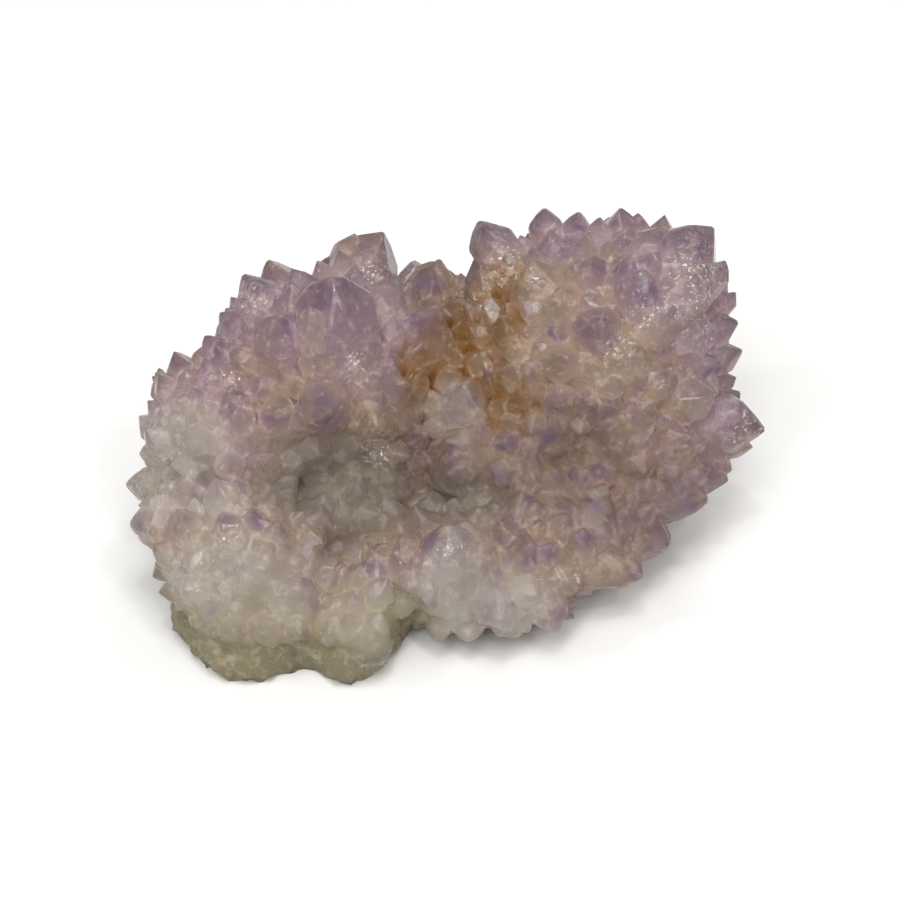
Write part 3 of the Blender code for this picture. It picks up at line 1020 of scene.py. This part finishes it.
def paintQuartz():
    look = quartzLook
    share = look["share"]
    output = addNode("ShaderNodeOutputMaterial")
    shader = addNode("ShaderNodeBsdfPrincipled")

    # places in mm, and three clouds of noise that everything below draws on
    place = addNode("ShaderNodeTexCoord").outputs["Object"]
    place = addNode("ShaderNodeVectorMath", {0: place, 1: (1 / metres,) * 3}, operation="MULTIPLY").outputs[0]
    wide, veil, ripple = (cloud(place, *values) for values in look["clouds"])

    depth, chance, radius, kind = stored("growth")
    depth, radius = times(depth, 10), times(radius, 10)  # mm below the tip, and mm wide
    onPoint = ease(kind, 0.2, 0.4)
    onFace = ease(kind, 0.6, 0.9)
    bevelledEdge = maths("SUBTRACT", onPoint, onFace, clamp=True)
    opened = addNode("ShaderNodeAttribute", attribute_name="openness").outputs["Fac"]
    bare, nearFoot, sparkle, paintedShade = stored("ground")
    bareBody = times(ease(bare, 0.25, 0.75), maths("SUBTRACT", 1, onPoint))
    footBlend = maths("MAXIMUM", bareBody, times(nearFoot, 0.8))
    stained, hollow, frosted, lilac = stored("regions")

    # the broad colours: lilac towards the crests, painted shade in darker pools, grey-green in the hollow and
    # darker there as painted shade, frosted at the left and the rim
    hue = ease(maths("ADD", times(wide, 0.6), times(chance, 0.4)), 0.3, 0.72, 0, 0.35)
    lilac = maths("ADD", hue, times(lilac, share["lilac"]), clamp=True)
    colour = mixed(lilac, look["body"], look["lilac"])
    for name, places in (("paintedShade", paintedShade), ("hollow", hollow), ("frost", frosted)):
        colour = coat(colour, name, places)

    # milky veils inside, and each point a little paler or darker than the next
    cloudy = maths("ADD", ease(veil, 0.48, 0.75, 0, 0.22), ease(chance, 0.5, 0.0, 0, 0.08))
    colour = mixed(cloudy, colour, look["pale"])
    colour = mixed(ease(ripple, 0.54, 0.72, 0, 0.22), colour, look["pale"])

    # violet patches just under the tips
    zone = maths("DIVIDE", depth, radius)
    under = times(ease(zone, -0.1, 0.3), ease(zone, 1.5, 0.3))
    some = ease(maths("ADD", wide, times(chance, 0.26)), 0.52, 0.86)
    some = times(some, ease(radius, 0.9, 2.6, 0.15, 1))
    some = times(some, ease(frosted, 0, 1, 1, 0.75))
    some = times(some, ease(hollow, 0, 1, 1, 0.5))
    violet = times(times(under, some), onPoint)
    colour = coat(colour, "violet", violet)
    colour = mixed(ease(violet, 0.5, 1.0, 0, share["deepViolet"]), colour, look["deepViolet"])

    # the valleys between points: painted shade darkens the gaps and the closed corners, and they are rusty
    # where iron has stained them
    gaps = ease(onPoint, 0.4, 0.0, 0, share["gap"])
    corners = ease(opened, 0.75, 0.3, 0, share["corner"])
    colour = mixed(maths("MAXIMUM", gaps, corners), colour, look["valleyShade"])
    stain = times(stained, ease(wide, 0.3, 0.55, 0.6, 1))
    colour = coat(colour, "stain", stain)
    colour = coat(colour, "deepStain", times(stain, ease(opened, 0.8, 0.45)))
    colour = mixed(ease(veil, 0.74, 0.78, 0, 0.5), colour, look["stain"])
    # painted highlight: the rounded edges of the points made paler, where light catches them
    rim = times(bevelledEdge, ease(veil, 0.4, 0.65, 0.0, 0.2))
    colour = mixed(rim, colour, look["pale"])

    # where the points sparkle: paler veils, and near-white specks that are painted glints
    sparkleVeils = times(sparkle, ease(veil, 0.42, 0.62, 0, 0.45))
    colour = mixed(sparkleVeils, colour, look["pale"])
    paintedGlints = times(sparkle, ease(ripple, 0.58, 0.68, 0, share["paintedGlint"]))
    colour = mixed(paintedGlints, colour, look["paintedGlint"])

    # the bare foot: olive and green-grey, with white patches, and painted shade in its closed corners
    foot = mixed(ease(wide, 0.4, 0.6), look["foot"], look["footGreen"])
    foot = mixed(ease(veil, 0.45, 0.7, 0, 0.6), foot, look["footPatch"])
    foot = mixed(ease(opened, 0.7, 0.35, 0, 0.4), foot, look["valleyShade"])
    foot = mixed(maths("SUBTRACT", 1, bare, clamp=True), foot, look["footFrost"])
    colour = mixed(footBlend, colour, foot)
    tree.links.new(colour, shader.inputs["Base Color"])

    # glassy faces with growth lines across the sides, and a granular break on the foot
    lines = maths("SINE", maths("ADD", times(depth, 16), times(ripple, 9)))
    side = times(ease(zone, 1.05, 1.25), onPoint)
    grooves = times(times(lines, side), 0.3)
    coarse = times(footBlend, look["grainDepth"] / look["bumpDepth"] - 1)
    glints = times(sparkle, look["sparkleDepth"] / look["bumpDepth"] - 1)
    relief = times(ripple, maths("ADD", maths("ADD", coarse, glints), 1))
    push = addNode("ShaderNodeBump", {"Height": maths("ADD", relief, grooves),
                                      "Distance": look["bumpDepth"] * metres, "Strength": 1.0})
    tree.links.new(push.outputs[0], shader.inputs["Normal"])
    dull = maths("MAXIMUM", bareBody, maths("MAXIMUM", paintedShade, hollow))
    gloss = maths("ADD", ease(veil, 0.35, 0.7, *look["roughness"]), times(dull, look["dullBy"]), clamp=True)
    gloss = maths("MAXIMUM", maths("SUBTRACT", gloss, times(sparkle, look["glintBy"])), 0.05)
    tree.links.new(gloss, shader.inputs["Roughness"])

    # light goes into the tips and scatters in the milky quartz below
    clear = times(ease(zone, 1.8, 0.1, *look["clearness"]), onPoint)
    clear = times(clear, ease(veil, 0.75, 0.4, 0.5, 1))
    clear = times(clear, ease(frosted, 0, 1, 1, 0.3))
    clear = times(clear, ease(hollow, 0, 1, 1, 0.4))
    clear = times(clear, ease(opened, 0.5, 0.85, 0.15, 1))
    tree.links.new(clear, shader.inputs["Transmission Weight"])
    shader.inputs["IOR"].default_value = look["ior"]
    shader.inputs["Specular IOR Level"].default_value = look["sheen"]
    shader.subsurface_method = "BURLEY"
    shader.inputs["Subsurface Weight"].default_value = look["haze"]
    shader.inputs["Subsurface Radius"].default_value = look["scatterTint"]
    shader.inputs["Subsurface Scale"].default_value = look["scatter"] * metres
    tint, density = look["absorb"]
    inside = addNode("ShaderNodeVolumeAbsorption", {"Color": screenColour(tint), "Density": float(density)})
    tree.links.new(shader.outputs[0], output.inputs["Surface"])
    tree.links.new(inside.outputs[0], output.inputs["Volume"])


paintQuartz()
crust.data.materials.append(milkyQuartz)
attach(crust, "root")
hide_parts("quartz_cluster")
print("quartz finished")


# the table, the lamps and the camera; mm, turned about the cluster in degrees
studio = {
    "table": ("f4f3f1", 0.6),  # and how rough
    "tableSize": 6000,
    "tableSink": 0.02,
    "sky": ("ffffff", 0.36),
    "lampAim": 5,
    "lamps": {  # turn from the camera's side, height above level, distance, size, watts
        "bigSoftbox": (-32, 56, 700, 480, 1.3),
        "keyLamp": (-18, 62, 700, 130, 0.4),
        "fillLamp": (32, 50, 700, 130, 0.35),
        "overheadSheet": (20, 80, 700, 300, 1.2),
        "backSheet": (160, 45, 700, 300, 0.8),
        "glintLeft": (-25, 35, 620, 34, 0.28),
        "glintRight": (40, 60, 620, 34, 0.28),
        "glintHigh": (-5, 78, 620, 34, 0.28),
        "glintFarLeft": (-80, 45, 620, 34, 0.28),
        "glintFarRight": (85, 40, 620, 34, 0.28),
    },
}


def layTable():
    bm = bmesh.new()
    bmesh.ops.create_grid(bm, x_segments=1, y_segments=1, size=studio["tableSize"] * metres / 2)
    table = newObject("table", bm)
    table.location.z = -studio["tableSink"] * metres
    paleTable = bpy.data.materials.new("paleTable")
    paleTable.use_nodes = True
    shader = paleTable.node_tree.nodes["Principled BSDF"]
    colour, roughness = studio["table"]
    shader.inputs["Base Color"].default_value = screenColour(colour)
    shader.inputs["Roughness"].default_value = roughness
    table.data.materials.append(paleTable)


def hangLamps():
    aim = inView(viewLook["aimAcross"], viewLook["aimUp"], studio["lampAim"]) * metres
    for name, (turn, rise, distance, size, watts) in studio["lamps"].items():
        turn, rise = math.radians(turn), math.radians(rise)
        way = Vector((math.sin(turn) * math.cos(rise), -math.cos(turn) * math.cos(rise), math.sin(rise)))
        light = bpy.data.lights.new(name, "AREA")
        light.shape = "DISK"
        light.size = size * metres
        light.energy = watts
        lamp = bpy.data.objects.new(name, light)
        lamp.location = aim + way * distance * metres
        lamp.rotation_euler = way.to_track_quat("Z", "Y").to_euler()
        bpy.context.scene.collection.objects.link(lamp)


def setSky():
    colour, strength = studio["sky"]
    sky = bpy.data.worlds.new("paleStudio")
    sky.use_nodes = True
    backdrop = sky.node_tree.nodes["Background"]
    backdrop.inputs["Color"].default_value = screenColour(colour)
    backdrop.inputs["Strength"].default_value = strength
    bpy.context.scene.world = sky
    bpy.context.scene.view_settings.view_transform = "Standard"


def setCamera():
    lens = bpy.data.cameras.new("camera")
    lens.lens = viewLook["lens"]
    lens.clip_start = 0.01
    camera = bpy.data.objects.new("camera", lens)
    place = inView(viewLook["aimAcross"], viewLook["aimUp"], viewLook["aimNear"] + viewLook["distance"])
    camera.location = place * metres
    camera.rotation_euler = (math.radians(90) - lookDown, 0, 0)
    bpy.context.scene.collection.objects.link(camera)
    bpy.context.scene.camera = camera


layTable()
hangLamps()
setSky()
setCamera()
print("table, lamps and camera set")
